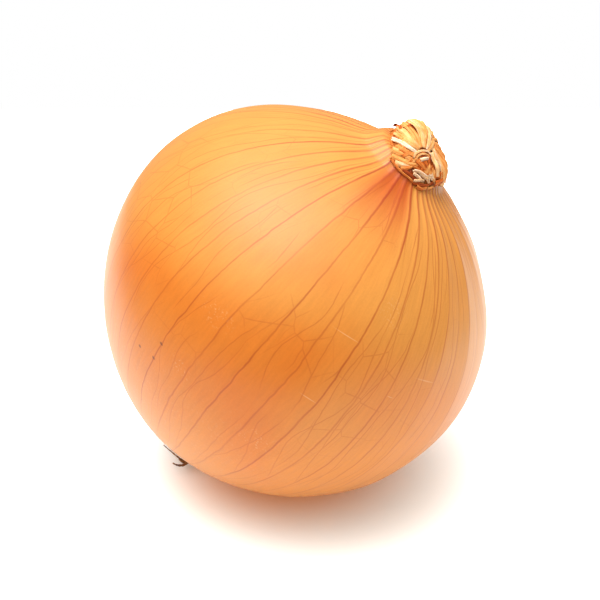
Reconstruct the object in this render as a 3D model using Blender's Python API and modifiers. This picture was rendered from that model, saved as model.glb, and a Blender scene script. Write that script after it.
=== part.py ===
"""A ripe brown onion as it lies on a table, leaning over to one side.

Three pieces grow on one axis: the bulb in its papery skin, the dried neck on its top, which is a
bonnet of folded leaf ends, and the root tuft in the hollow of its base. All of them are made
upright, about the bulb's own centre, and one empty leans them over and sets the bulb's flat spot
on the table at the origin.
"""

import math
import random

import bmesh
import bpy
from mathutils import Matrix, Vector

MM = 0.001
TAU = math.tau

# The bulb: its outline is a distance from the centre, in millimetres, at an angle from the neck.
BULB_OUTLINE = (
    (2, 44.9), (6, 43.8), (10, 42.1), (14, 40.2), (24, 39.8), (40, 40.1), (60, 40.9), (80, 40.6),
    (100, 39.2), (120, 37.7), (140, 36.7), (160, 36.5), (180, 35.9),
)
BELLY_SWELL = 0.042              # the belly stands out by this share on one side
BELLY_SIDE = math.radians(266)
SHOULDER_SWELL = 0.009           # one shoulder stands out by this share, and the bulb is hollower below it
SHOULDER_SIDE = math.radians(311)
OVAL_SWELL = 0.047               # and the bulb is wider by this share across than along
OVAL_SIDE = math.radians(288)
LEAN = math.radians(36)          # the axis leans this far from upright, towards +X
FLAT_DEPTH = 0.6 * MM            # the flat spot is pressed in this far
GAP = 0.3 * MM                   # between pieces that touch

# The skin's main veins, as turns about the axis, and the shallow ribs that they raise.
FRONT_VEINS = (
    167, 181, 193.5, 204.5, 214, 223, 232, 243, 253.5, 263.5, 273, 281, 288, 295, 301.5, 308.5,
    316, 324, 333,
)
BACK_VEINS = 21
VEIN_JITTER = 1.6                # degrees
SEGMENTS_PER_VEIN = 3
NECK_PLEAT = 0.22 * MM
BELLY_RIB = 0.06 * MM

# The seats that the neck and the root tuft sit in.
NECK_SEAT_RADIUS = 6.9 * MM
ROOT_HOLLOW_RADIUS = 7.4 * MM
ROOT_HOLLOW_DEPTH = 1.3 * MM

# The dried neck: a bonnet of folded leaf ends, wider across than deep.
NECK_FRONT = math.radians(251)   # the side that its front faces
BONNET_HALF_WIDTH = 6.8 * MM
BONNET_HALF_DEPTH = 6.1 * MM
BONNET_MIDDLE = (1.3 * MM, 0.9 * MM)
BONNET_HEIGHT = 4.9 * MM
BONNET_SLOPE = 0.6               # how much higher it is at its left side, as a share
KNOT = (1.8 * MM, 4.4 * MM)      # where its folds gather, across and to the front
FOLDS = 9
FOLD_DEPTH = 0.65 * MM
TONGUES = 8
TONGUE_START = 0.72              # as a share of the bonnet's half width and depth
TONGUE_THICKNESS = 0.65 * MM
STRAND_RADIUS = 0.42 * MM
STRANDS = ((62, 5.0, 2.2), (46, 6.2, 1.5), (84, 5.2, 1.7))     # turn in degrees, length, height

# The root tuft.
PLATE_RADIUS = ROOT_HOLLOW_RADIUS - GAP
PLATE_CROWN = 0.9 * MM           # the plate's middle stands this far out of the hollow's rim
ROOT_RADIUS = 0.36 * MM
ROOT_COUNT = 40
ROOT_STEPS = 7
ROOT_FLOOR = 0.75 * MM           # no root's line comes nearer to the table
ROOT_SKIN_CLEAR = 0.80 * MM      # nor nearer to the skin
SIDE_ROOTS = (                   # two longer ones, seen past the bulb, in millimetres
    ((0.9, -5.2, -36.0), (2.0, -6.3, -38.2), (2.8, -7.8, -39.7), (1.5, -8.6, -40.5), (0.0, -7.7, -41.3),
     (-0.5, -6.6, -41.5)),
    ((2.4, -4.8, -36.0), (2.3, -5.4, -38.6), (1.0, -4.9, -39.6), (-1.5, -4.2, -39.8), (-3.6, -3.4, -39.6)),
)

SKIN_COLOUR = (0.80, 0.33, 0.07, 1.0)
NECK_COLOUR = (0.72, 0.42, 0.18, 1.0)
ROOT_COLOUR = (0.46, 0.28, 0.12, 1.0)


def clear_scene():
    for item in list(bpy.data.objects):
        bpy.data.objects.remove(item, do_unlink=True)


def smooth_step(low, high, value):
    share = min(1.0, max(0.0, (value - low) / (high - low)))
    return share * share * (3 - 2 * share)


def outline_distance(angle):
    """The bulb's mean radius at this angle from the neck: a smooth curve through BULB_OUTLINE."""
    degrees = min(180.0, max(BULB_OUTLINE[0][0], math.degrees(angle)))
    knots = BULB_OUTLINE
    last = len(knots) - 2
    span = next(i for i in range(last + 1) if degrees <= knots[i + 1][0])

    def slope(i):
        before, after = knots[max(0, i - 1)], knots[min(last + 1, i + 1)]
        return (after[1] - before[1]) / (after[0] - before[0])

    (start, low), (end, high) = knots[span], knots[span + 1]
    width = end - start
    t = (degrees - start) / width
    rise = (2 * t**3 - 3 * t**2 + 1) * low + (3 * t**2 - 2 * t**3) * high
    tangents = (t**3 - 2 * t**2 + t) * slope(span) + (t**3 - t**2) * slope(span + 1)
    return (rise + tangents * width) * MM


def lopsided(angle, turn):
    """The share by which the bulb is larger or smaller than its mean outline in one direction."""
    degrees = math.degrees(angle)
    ends = smooth_step(10, 30, degrees) * smooth_step(168, 148, degrees)
    belly = BELLY_SWELL * math.sin(angle) * ends * math.cos(turn - BELLY_SIDE)
    shoulder = SHOULDER_SWELL * math.sin(angle) * math.cos(angle) * ends * math.cos(turn - SHOULDER_SIDE)
    oval = OVAL_SWELL * math.sin(angle) ** 2 * math.cos(2 * (turn - OVAL_SIDE))
    return 1 + belly + shoulder + oval


def bulb_point(angle, turn, rise=0.0):
    """A point on the skin, or rise above it, about the bulb's centre with the neck up."""
    distance = outline_distance(angle) * lopsided(angle, turn) + rise
    across = distance * math.sin(angle)
    return Vector((across * math.cos(turn), across * math.sin(turn), distance * math.cos(angle)))


def vein_turns():
    """The main veins' turns in order: the front's as they are, the back's even but for a jitter."""
    dice = random.Random(5)
    first, last = FRONT_VEINS[0] + 360, FRONT_VEINS[-1]
    step = (first - last) / (BACK_VEINS + 1)
    back = [last + step * (i + 1) + dice.uniform(-VEIN_JITTER, VEIN_JITTER) for i in range(BACK_VEINS)]
    return [math.radians(turn) for turn in (*FRONT_VEINS, *back)]


def lean_matrix():
    """Leans the upright onion towards +X and brings its flat spot to the origin."""
    turn = Matrix.Rotation(LEAN, 4, "Y")
    skin = (
        turn @ bulb_point(math.radians(angle / 2), math.radians(around))
        for angle in range(240, 340)
        for around in range(0, 360, 2)
    )
    lowest = min(skin, key=lambda point: point.z)
    return Matrix.Translation(-lowest - Vector((0, 0, FLAT_DEPTH))) @ turn


def material(name, colour, roughness):
    made = bpy.data.materials.new(name)
    made.use_nodes = True
    shader = made.node_tree.nodes["Principled BSDF"]
    shader.inputs["Base Color"].default_value = colour
    shader.inputs["Roughness"].default_value = roughness
    shader.inputs["Metallic"].default_value = 0.0
    return made


def new_object(name, data, collection):
    made = bpy.data.objects.new(name, data)
    collection.objects.link(made)
    return made


def evaluated_mesh(item, weld=True):
    """The object's mesh as its modifiers leave it, or a curve's as a mesh with its caps welded."""
    bpy.context.view_layer.update()
    graph = bpy.context.evaluated_depsgraph_get()
    mesh = bpy.data.meshes.new_from_object(item.evaluated_get(graph))
    if not weld:
        return mesh
    shape = bmesh.new()
    shape.from_mesh(mesh)
    bmesh.ops.remove_doubles(shape, verts=shape.verts, dist=0.001 * MM)
    bmesh.ops.recalc_face_normals(shape, faces=shape.faces)
    shape.to_mesh(mesh)
    shape.free()
    return mesh


def turned_mesh(name, profile, segments, collection):
    """Profile points (radius, height), top to bottom down the outer side, turned about Z."""
    line = bpy.data.meshes.new(name + "_profile")
    points = [(radius, 0, height) for radius, height in profile]
    line.from_pydata(points, [(i, i + 1) for i in range(len(points) - 1)], [])
    item = new_object(name + "_profile", line, collection)
    screw = item.modifiers.new("Turn", "SCREW")
    screw.axis = "Z"
    screw.angle = TAU
    screw.steps = screw.render_steps = segments
    screw.use_merge_vertices = True
    screw.merge_threshold = 0.01 * MM
    mesh = evaluated_mesh(item)
    bpy.data.objects.remove(item, do_unlink=True)
    return mesh


def union_of(name, pieces, collection):
    """One object from overlapping pieces, by a Boolean union of all but the first on the first."""
    body, *rest = pieces
    others = bpy.data.collections.new(name + "_repeats")
    bpy.context.scene.collection.children.link(others)
    for piece in rest:
        others.objects.link(piece)
        collection.objects.unlink(piece)
    union = body.modifiers.new("Join", "BOOLEAN")
    union.operation = "UNION"
    union.operand_type = "COLLECTION"
    union.collection = others
    union.solver = "EXACT"
    mesh = evaluated_mesh(body, weld=False)
    mesh.name = name
    for piece in pieces:
        bpy.data.objects.remove(piece, do_unlink=True)
    bpy.data.collections.remove(others)
    return new_object(name, mesh, collection)


def finish(item, look, lean, crease=40):
    item.data.materials.clear()
    item.data.materials.append(look)
    item.data.shade_smooth()
    item.data.set_sharp_from_angle(angle=math.radians(crease))
    item.parent = lean


# The bulb

def neck_seat_angle():
    """The angle from the neck at which the skin has narrowed to the neck's seat."""
    return math.asin(NECK_SEAT_RADIUS / outline_distance(math.radians(10)))


def root_hollow_angle():
    return math.pi - math.asin(ROOT_HOLLOW_RADIUS / outline_distance(math.radians(170)))


def bulb_profile():
    """The skin from the neck's seat down to the root hollow, with the seat and hollow themselves."""
    first, last = neck_seat_angle(), root_hollow_angle()
    rings = [first + math.radians(step) for step in (0, 1.6, 3.4, 5.5, 8, 11, 15, 20)]
    while rings[-1] < last - math.radians(7):
        rings.append(rings[-1] + math.radians(6))
    rings.append(last)
    skin = [
        (outline_distance(angle) * math.sin(angle), outline_distance(angle) * math.cos(angle))
        for angle in rings
    ]
    top, rim = skin[0], skin[-1]
    floor = rim[1] + ROOT_HOLLOW_DEPTH
    return [(0, top[1]), top, *skin[1:], (rim[0] - 0.1 * MM, floor), (0, floor)]


def rib_height(angle, part):
    """How far the skin stands out here: most on a vein near the neck, and a little on the belly."""
    degrees = math.degrees(angle)
    near_neck = 1 - smooth_step(12, 48, degrees)
    on_skin = smooth_step(9, 13, degrees) * smooth_step(168, 150, degrees)
    height = BELLY_RIB + (NECK_PLEAT - BELLY_RIB) * near_neck
    return height * on_skin * (1.0 if part == 0 else -0.5)


def make_bulb(collection, lean):
    veins = vein_turns()
    segments = len(veins) * SEGMENTS_PER_VEIN
    mesh = turned_mesh("bulb", bulb_profile(), segments, collection)
    for vertex in mesh.vertices:
        x, y, height = vertex.co
        radius = math.hypot(x, y)
        if radius < 0.01 * MM:
            continue
        gap, part = divmod(round(math.atan2(y, x) % TAU / TAU * segments) % segments, SEGMENTS_PER_VEIN)
        after = veins[(gap + 1) % len(veins)]
        width = (after - veins[gap]) % TAU
        turn = veins[gap] + width * part / SEGMENTS_PER_VEIN
        angle = math.atan2(radius, height)
        distance = math.hypot(radius, height) * lopsided(angle, turn) + rib_height(angle, part)
        across = distance * math.sin(angle)
        vertex.co = (across * math.cos(turn), across * math.sin(turn), distance * math.cos(angle))
    bulb = new_object("bulb", mesh, collection)
    finish(bulb, material("onion_skin", SKIN_COLOUR, 0.38), lean)
    return bulb


def press_flat_spot(bulb, cutters):
    """Cuts the bulb level with the table, where its weight would press it flat."""
    mesh = bpy.data.meshes.new("table_cutter")
    shape = bmesh.new()
    bmesh.ops.create_cube(shape, size=60 * MM, matrix=Matrix.Translation((0, 0, -30 * MM)))
    shape.to_mesh(mesh)
    shape.free()
    cutter = new_object("table_cutter", mesh, cutters)
    cutter.hide_render = True
    cutter.display_type = "WIRE"
    cut = bulb.modifiers.new("Flat spot", "BOOLEAN")
    cut.operation = "DIFFERENCE"
    cut.object = cutter


# The dried neck

def neck_point(across, front, up):
    """A point of the neck: across its front, towards the front, and above its seat."""
    seat = outline_distance(neck_seat_angle()) * math.cos(neck_seat_angle()) + GAP
    facing = Vector((math.cos(NECK_FRONT), math.sin(NECK_FRONT), 0))
    aside = Vector((-facing.y, facing.x, 0))
    return aside * across + facing * front + Vector((0, 0, seat + up))


def bonnet_height(across, front, share):
    """The bonnet's top: a hump, higher on the left, whose folds run to a dented knot in front."""
    to_knot = Vector((across - KNOT[0], front - KNOT[1]))
    hump = (1 - share**2) ** 0.55 * (1 - BONNET_SLOPE * across / BONNET_HALF_WIDTH)
    behind = smooth_step(4.0, -4.0, front / MM)
    folds = math.cos(FOLDS * math.atan2(to_knot.y, to_knot.x)) * smooth_step(0.6, 3.0, to_knot.length / MM)
    dent = math.exp(-((to_knot.length / (1.3 * MM)) ** 2))
    return BONNET_HEIGHT * hump * (0.72 + 0.28 * behind) + FOLD_DEPTH * folds * hump - 0.9 * MM * dent


def make_bonnet(collection):
    """The folded leaf ends, from a sphere whose lower half is the flat base."""
    mesh = bpy.data.meshes.new("bonnet")
    shape = bmesh.new()
    bmesh.ops.create_uvsphere(shape, u_segments=36, v_segments=14, radius=1.0)
    for vertex in shape.verts:
        x, y, z = vertex.co
        share = min(1.0, math.hypot(x, y))
        pleat = 1 + 0.05 * math.cos(FOLDS * math.atan2(y, x)) * smooth_step(0.5, 1.0, share)
        across = x * BONNET_HALF_WIDTH * pleat + BONNET_MIDDLE[0]
        front = y * BONNET_HALF_DEPTH * pleat + BONNET_MIDDLE[1]
        up = bonnet_height(across, front, share) if z > -0.01 else 0.0
        vertex.co = neck_point(across, front, max(0.0, up))
    bmesh.ops.reverse_faces(shape, faces=shape.faces)
    shape.to_mesh(mesh)
    shape.free()
    return new_object("bonnet", mesh, collection)


def make_tongue(collection, number, turn, reach, width, flare):
    """A torn leaf end: it rises out of the bonnet's foot and turns outward, to a ragged tip."""
    mesh = bpy.data.meshes.new("tongue")
    shape = bmesh.new()
    bmesh.ops.create_grid(shape, x_segments=2, y_segments=4, size=1.0)
    outward = Vector((math.cos(turn), math.sin(turn)))
    sideways = Vector((-outward.y, outward.x))
    for vertex in shape.verts:
        side, along = vertex.co.x, (vertex.co.y + 1) / 2
        ragged = 1 + 0.05 * math.sin(2.6 * number + 4 * side) * along
        share = (TONGUE_START + (reach - TONGUE_START) * along) * ragged
        place = outward * share + sideways * side * width / 2 * (1 - 0.4 * along**2)
        across = BONNET_MIDDLE[0] + place.x * BONNET_HALF_WIDTH
        front = BONNET_MIDDLE[1] + place.y * BONNET_HALF_DEPTH
        vertex.co = neck_point(across, front, 0.75 * MM + flare * along - 0.35 * MM * side**2)
    shape.to_mesh(mesh)
    shape.free()
    tongue = new_object("tongue", mesh, collection)
    thicken = tongue.modifiers.new("Thickness", "SOLIDIFY")
    thicken.thickness = TONGUE_THICKNESS
    thicken.offset = 0.0
    solid = new_object("tongue_solid", evaluated_mesh(tongue), collection)
    bpy.data.objects.remove(tongue, do_unlink=True)
    return solid


def tube(collection, name, points, radii, sides_level=1):
    """A round strand through these points, as a mesh with closed ends."""
    curve = bpy.data.curves.new(name, "CURVE")
    curve.dimensions = "3D"
    curve.bevel_depth = 1.0
    curve.bevel_resolution = sides_level
    curve.use_fill_caps = True
    spline = curve.splines.new("POLY")
    spline.points.add(len(points) - 1)
    for knot, place, radius in zip(spline.points, points, radii):
        knot.co = (*place, 1.0)
        knot.radius = radius
    item = new_object(name, curve, collection)
    mesh = evaluated_mesh(item)
    bpy.data.objects.remove(item, do_unlink=True)
    return new_object(name, mesh, collection)


def make_strands(collection):
    """Frayed threads of leaf that come out of the bonnet low on its front and end in the air."""
    strands = []
    for turn, length, up in STRANDS:
        outward = Vector((math.cos(math.radians(turn)), math.sin(math.radians(turn))))
        points = []
        for step in range(5):
            share = step / 4
            place = outward * (2.5 * MM + length * MM * share)
            points.append(neck_point(place.x + 0.8 * MM * share**2, place.y, (up - 0.5 * share**2) * MM))
        strands.append(tube(collection, "strand", points, [STRAND_RADIUS] * 5))
    return strands


def make_neck(collection, lean):
    dice = random.Random(8)
    pieces = [make_bonnet(collection)]
    for number in range(TONGUES):
        turn = TAU * (number + 0.5) / TONGUES + dice.uniform(-0.06, 0.06)
        reach = dice.uniform(1.06, 1.18)
        width = dice.uniform(0.42, 0.58)
        flare = dice.uniform(0.0, 1.2) * MM
        pieces.append(make_tongue(collection, number, turn, reach, width, flare))
    pieces += make_strands(collection)
    neck = union_of("neck", pieces, collection)
    finish(neck, material("dry_leaf_ends", NECK_COLOUR, 0.75), lean, crease=30)


# The root tuft

def make_plate(collection):
    """The root plate: a low crown that sits in the bulb's hollow."""
    rim = outline_distance(root_hollow_angle()) * math.cos(root_hollow_angle())
    top = rim + ROOT_HOLLOW_DEPTH - GAP
    steps = 5
    crown = [
        (PLATE_RADIUS * math.cos(math.pi / 2 * i / steps), rim - PLATE_CROWN * math.sin(math.pi / 2 * i / steps))
        for i in range(steps)
    ]
    profile = [(0, top), (PLATE_RADIUS, top), *crown, (0, rim - PLATE_CROWN)]
    mesh = turned_mesh("plate", profile, 28, collection)
    return new_object("plate", mesh, collection)


def clear_of_skin_and_table(point, lean):
    """Moves a root's point outward from the skin and up from the table, where it is too near."""
    turn = math.atan2(point.y, point.x)
    angle = math.atan2(math.hypot(point.x, point.y), point.z)
    skin = bulb_point(angle, turn)
    if math.hypot(point.x, point.y) > PLATE_RADIUS and point.length < skin.length + ROOT_SKIN_CLEAR:
        point = skin.normalized() * (skin.length + ROOT_SKIN_CLEAR)
    world = lean @ point
    world.z = max(world.z, ROOT_FLOOR)
    return lean.inverted() @ world


def root_path(number, dice, lean):
    """One root's line: out of the plate, outward by its place on it, and curling as it goes."""
    golden = math.pi * (3 - math.sqrt(5))
    place = math.sqrt((number + 0.5) / ROOT_COUNT)
    turn = number * golden
    radius = PLATE_RADIUS * 0.88 * place
    rim = outline_distance(root_hollow_angle()) * math.cos(root_hollow_angle())
    foot = rim - PLATE_CROWN * math.sqrt(max(0.0, 1 - (radius / PLATE_RADIUS) ** 2))
    point = Vector((radius * math.cos(turn), radius * math.sin(turn), foot))
    splay = math.radians(8 + 52 * place)
    heading = Vector((math.sin(splay) * math.cos(turn), math.sin(splay) * math.sin(turn), -math.cos(splay)))
    curl = Vector((dice.uniform(-1, 1), dice.uniform(-1, 1), dice.uniform(-0.3, 0.9)))
    step = dice.uniform(3.5, 7.0) * MM / ROOT_STEPS * (1 - 0.4 * smooth_step(0.2, -0.6, math.cos(turn)))
    points = [point - heading * 0.9 * MM, point + heading * 0.3 * MM]
    for _ in range(ROOT_STEPS - 1):
        heading = (heading + curl * 0.30).normalized()
        points.append(clear_of_skin_and_table(points[-1] + heading * step, lean))
    return points


def make_root_tuft(collection, lean):
    dice = random.Random(3)
    matrix = lean.matrix_world.copy()
    pieces = [make_plate(collection)]
    for number in range(ROOT_COUNT):
        points = root_path(number, dice, matrix)
        radii = [ROOT_RADIUS * (1 - 0.45 * i / (len(points) - 1)) for i in range(len(points))]
        pieces.append(tube(collection, "root", points, radii, sides_level=0))
    for line in SIDE_ROOTS:
        points = [Vector(point) * MM for point in line]
        pieces.append(tube(collection, "root", points, [ROOT_RADIUS] * len(points), sides_level=0))
    tuft = union_of("root_tuft", pieces, collection)
    finish(tuft, material("dry_root", ROOT_COLOUR, 0.85), lean)


def main():
    clear_scene()
    onion = bpy.data.collections.new("onion")
    cutters = bpy.data.collections.new("cutters")
    bpy.context.scene.collection.children.link(onion)
    bpy.context.scene.collection.children.link(cutters)
    lean = new_object("lean", None, onion)
    lean.matrix_world = lean_matrix()
    bpy.context.view_layer.update()
    bulb = make_bulb(onion, lean)
    press_flat_spot(bulb, cutters)
    make_neck(onion, lean)
    make_root_tuft(onion, lean)


main()
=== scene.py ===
"""A ripe brown onion lying over on one side on a white table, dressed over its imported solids."""

import math
import random

import bpy
import numpy as np
from mathutils import Matrix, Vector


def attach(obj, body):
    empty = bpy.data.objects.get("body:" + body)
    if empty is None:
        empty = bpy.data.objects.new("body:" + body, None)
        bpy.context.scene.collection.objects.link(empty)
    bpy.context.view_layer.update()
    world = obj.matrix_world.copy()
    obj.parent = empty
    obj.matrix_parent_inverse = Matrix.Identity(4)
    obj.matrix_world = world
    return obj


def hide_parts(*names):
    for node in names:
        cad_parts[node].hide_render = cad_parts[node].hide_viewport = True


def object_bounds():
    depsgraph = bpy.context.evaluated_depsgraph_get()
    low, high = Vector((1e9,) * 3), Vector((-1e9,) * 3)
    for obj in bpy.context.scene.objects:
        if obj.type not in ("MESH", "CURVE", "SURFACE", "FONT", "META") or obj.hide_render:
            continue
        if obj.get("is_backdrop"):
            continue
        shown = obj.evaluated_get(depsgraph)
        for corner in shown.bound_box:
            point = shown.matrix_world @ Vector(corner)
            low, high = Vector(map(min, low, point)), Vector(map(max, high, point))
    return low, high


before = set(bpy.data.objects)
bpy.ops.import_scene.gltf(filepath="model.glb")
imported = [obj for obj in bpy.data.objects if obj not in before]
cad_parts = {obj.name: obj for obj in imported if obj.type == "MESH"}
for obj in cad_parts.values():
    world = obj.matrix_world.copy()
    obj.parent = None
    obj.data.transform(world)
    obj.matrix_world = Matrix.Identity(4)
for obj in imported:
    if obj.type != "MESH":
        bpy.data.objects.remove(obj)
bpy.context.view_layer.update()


# The skin. The bulb's outermost scale has dried to one tight sheet of papery skin, thin, satin
# and orange brown, with the old leaf's veins running from neck to roots. It grew in one piece,
# pleated where it narrows to the neck, and it's pressed flat where it lies on the table.

# Its outline is a distance from the bulb's centre, in millimetres, at an angle from the neck.
BULB_OUTLINE = (
    (2, 44.9), (6, 43.8), (10, 42.1), (14, 40.2), (24, 39.8), (40, 40.1), (60, 40.9), (80, 40.6),
    (100, 39.2), (120, 37.7), (140, 36.7), (160, 36.5), (180, 35.9),
)
BELLY_SWELL, BELLY_SIDE = 0.042, math.radians(266)
SHOULDER_SWELL, SHOULDER_SIDE = 0.009, math.radians(311)
OVAL_SWELL, OVAL_SIDE = 0.047, math.radians(288)
LEAN = math.radians(36)
FLAT_DEPTH = 0.6
NECK_SEAT_RADIUS = 6.9
ROOT_HOLLOW_RADIUS, ROOT_HOLLOW_DEPTH = 7.4, 1.3

# The main veins: each one's turn about the axis, in degrees, and how boldly it's marked.
FRONT_VEINS = (
    (167, 0.5), (181, 0.6), (193.5, 0.9), (204.5, 0.6), (214, 0.65), (223, 0.7), (232, 1.0), (243, 0.75),
    (253.5, 0.95), (263.5, 0.7), (273, 1.0), (281, 0.7), (288, 0.75), (295, 0.7), (301.5, 0.75),
    (308.5, 0.65), (316, 0.7), (324, 0.6), (333, 0.6),
)
BACK_VEINS = 21
VEIN_JITTER = 1.6
VEIN_SLANT, VEIN_BEND = -0.0038, 0.0451
COLUMNS_PER_VEIN = 12
SKIN_RINGS = 190
NECK_PLEAT, BELLY_RIB, PANEL_WAVE = 0.05, 0.012, 0.12
COLLAR_SHARES, COLLAR_SINK = (0.45, 0.75), 0.4
HOLLOW_TAPER = 0.985


def smooth_step(low, high, value):
    share = np.clip((value - low) / (high - low), 0, 1)
    return share * share * (3 - 2 * share)


def outline_distance(degrees):
    """The bulb's mean radius at an angle from the neck: a smooth curve through BULB_OUTLINE."""
    knots, radii = np.array(BULB_OUTLINE, float).T
    slopes = np.concatenate((
        [(radii[1] - radii[0]) / (knots[1] - knots[0])],
        (radii[2:] - radii[:-2]) / (knots[2:] - knots[:-2]),
        [(radii[-1] - radii[-2]) / (knots[-1] - knots[-2])],
    ))
    degrees = np.clip(degrees, knots[0], 180)
    span = np.searchsorted(knots[1:-1], degrees)
    width = knots[span + 1] - knots[span]
    t = (degrees - knots[span]) / width
    values = (2 * t**3 - 3 * t**2 + 1) * radii[span] + (3 * t**2 - 2 * t**3) * radii[span + 1]
    bends = (t**3 - 2 * t**2 + t) * slopes[span] + (t**3 - t**2) * slopes[span + 1]
    return values + bends * width


def skin_point(degrees, turn, rise=0.0):
    """Points on the skin, or rise above it, in millimetres about the bulb's centre, neck up."""
    angle = np.radians(degrees)
    ends = smooth_step(10, 30, degrees) * smooth_step(168, 148, degrees)
    belly = BELLY_SWELL * np.sin(angle) * ends * np.cos(turn - BELLY_SIDE)
    shoulder = SHOULDER_SWELL * np.sin(angle) * np.cos(angle) * ends * np.cos(turn - SHOULDER_SIDE)
    oval = OVAL_SWELL * np.sin(angle) ** 2 * np.cos(2 * (turn - OVAL_SIDE))
    distance = outline_distance(degrees) * (1 + belly + shoulder + oval) + rise
    across = distance * np.sin(angle)
    return np.stack((across * np.cos(turn), across * np.sin(turn), distance * np.cos(angle)), -1)


lean_turn = np.array(Matrix.Rotation(LEAN, 3, "Y"))
under_angles, under_turns = np.meshgrid(np.arange(120, 170, 0.5), np.radians(np.arange(0, 360, 2)))
underside = skin_point(under_angles, under_turns).reshape(-1, 3) @ lean_turn.T
bulb_centre = -underside[underside[:, 2].argmin()] - (0, 0, FLAT_DEPTH)


def on_table(points):
    """Points of the upright onion, in millimetres, as it leans on the table, in metres."""
    return (np.asarray(points) @ lean_turn.T + bulb_centre) * 0.001


def add_mesh(name, points, faces):
    mesh = bpy.data.meshes.new(name)
    mesh.from_pydata([tuple(point) for point in points], [], faces)
    mesh.shade_smooth()
    made = bpy.data.objects.new(name, mesh)
    bpy.context.scene.collection.objects.link(made)
    return made


def add_face_map(mesh, name, corners):
    """A UV map from one pair of numbers for each face corner."""
    layer = mesh.uv_layers.new(name=name)
    layer.data.foreach_set("uv", np.asarray(corners, np.float32).ravel())


def add_point_value(mesh, name, values):
    attribute = mesh.attributes.new(name, "FLOAT", "POINT")
    attribute.data.foreach_set("value", np.asarray(values, np.float32).ravel())


class Socket:
    """One output of a shader node. Arithmetic on it adds Math nodes to its material."""

    def __init__(self, tree, output=None):
        self.tree = tree
        self.output = output

    def node(self, kind, settings=None, inputs=None, output=0):
        """Adds a node, makes its settings, and then gives its sockets their values or links."""
        made = self.tree.nodes.new(kind)
        for name, value in (settings or {}).items():
            if name == "stops":
                ramp = made.color_ramp.elements
                while len(ramp) < len(value):
                    ramp.new(1.0)
                for stop, (place, colour) in zip(ramp, value):
                    stop.position, stop.color = place, colour
            else:
                setattr(made, name, value)
        for name, value in (inputs or {}).items():
            if isinstance(value, Socket):
                self.tree.links.new(value.output, made.inputs[name])
            else:
                made.inputs[name].default_value = value
        return Socket(self.tree, made.outputs[output])

    def beside(self, output):
        """Another output of the same node."""
        return Socket(self.tree, self.output.node.outputs[output])

    def math(self, operation, *others, clamp=False):
        inputs = dict(enumerate((self, *others)))
        return self.node("ShaderNodeMath", {"operation": operation, "use_clamp": clamp}, inputs)

    def __add__(self, other):
        return self.math("ADD", other)

    def __mul__(self, other):
        return self.math("MULTIPLY", other)

    def __sub__(self, other):
        return self.math("SUBTRACT", other)

    def __rsub__(self, other):
        return self * -1 + other

    __radd__ = __add__
    __rmul__ = __mul__

    def step(self, low, high):
        """0 up to low and 1 from high, with a smooth rise between them."""
        limits = {"Value": self, "From Min": low, "From Max": high}
        return self.node("ShaderNodeMapRange", {"interpolation_type": "SMOOTHSTEP"}, limits)

    def vector(self, x, y, z=0.0):
        return self.node("ShaderNodeCombineXYZ", None, {"X": x, "Y": y, "Z": z})

    def noise(self, place, scale, detail=2.0, kind="3D"):
        inputs = {"Vector": place, "Scale": scale, "Detail": detail}
        return self.node("ShaderNodeTexNoise", {"noise_dimensions": kind}, inputs)

    def blend(self, low, high, share, kind="MIX"):
        """Colours low and high mixed by share: a Mix node's inputs 6 and 7 and its output 2."""
        settings = {"data_type": "RGBA", "blend_type": kind}
        return self.node("ShaderNodeMix", settings, {0: share, 6: low, 7: high}, 2)


def new_material(name):
    """A material, its Principled shader, and a bare socket to start its nodes from."""
    made = bpy.data.materials.new(name)
    made.use_nodes = True
    shader = made.node_tree.nodes["Principled BSDF"]
    return made, shader, Socket(made.node_tree)


def connect(shader, **values):
    """Feeds the shader's sockets, named with _ for a space, from sockets."""
    for name, value in values.items():
        value.tree.links.new(value.output, shader.inputs[name.replace("_", " ")])


dice = random.Random(5)
front_turns = [turn for turn, _ in FRONT_VEINS]
back_step = (front_turns[0] + 360 - front_turns[-1]) / (BACK_VEINS + 1)
back_turns = [
    front_turns[-1] + back_step * (number + 1) + dice.uniform(-VEIN_JITTER, VEIN_JITTER)
    for number in range(BACK_VEINS)
]
vein_turns = np.radians([*front_turns, *back_turns, front_turns[0] + 360])
front_boldness = [bold for _, bold in FRONT_VEINS]
vein_boldness = np.array(front_boldness + [dice.uniform(0.5, 1.0) for _ in back_turns])
vein_count = len(vein_boldness)
columns = vein_count * COLUMNS_PER_VEIN
column_vein = np.arange(columns) / COLUMNS_PER_VEIN

seat_angle = math.degrees(math.asin(NECK_SEAT_RADIUS / outline_distance(10)))
hollow_angle = 180 - math.degrees(math.asin(ROOT_HOLLOW_RADIUS / outline_distance(170)))
ring_share = np.linspace(0, 1, SKIN_RINGS)
ring_angle = seat_angle + (hollow_angle - seat_angle) * (0.75 * ring_share + 0.25 * ring_share**2)


def vein_turn(vein, degrees):
    """Where a vein, counted round the bulb, lies at an angle from the neck: they all bend a little."""
    below = np.radians(degrees) - math.pi / 2
    turn = np.interp(vein % vein_count, np.arange(vein_count + 1), vein_turns)
    return turn + VEIN_SLANT * below + VEIN_BEND * below**2


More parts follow.
